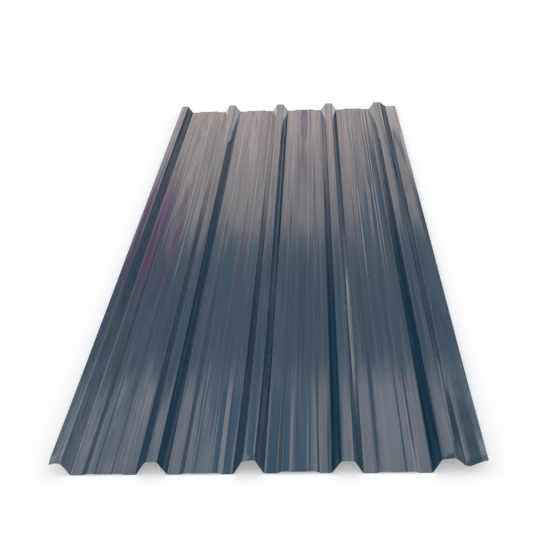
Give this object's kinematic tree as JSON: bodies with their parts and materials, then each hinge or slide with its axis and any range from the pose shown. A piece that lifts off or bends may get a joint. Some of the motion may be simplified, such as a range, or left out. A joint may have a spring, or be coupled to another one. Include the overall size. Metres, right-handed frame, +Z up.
{
  "type": "corrugated metal sheet",
  "caption": "Long roll-formed trapezoidal roofing sheet in dark blue pre-painted steel, with broad flat pans between raised ribs and a side lap along one edge.",
  "frame": {"origin": "middle of the sheet's box, on the ground that the pans rest on", "axes": "+Y along the ribs towards the far end, +X across them towards the side lap, +Z up out of the crowns"},
  "size_m": [1.1146, 3, 0.0459],
  "materials": {
    "painted_steel": "gloss pre-painted, dark slate blue"
  },
  "bodies": {
    "root": {"roofing_sheet": "painted_steel"}
  },
  "joints": []
}
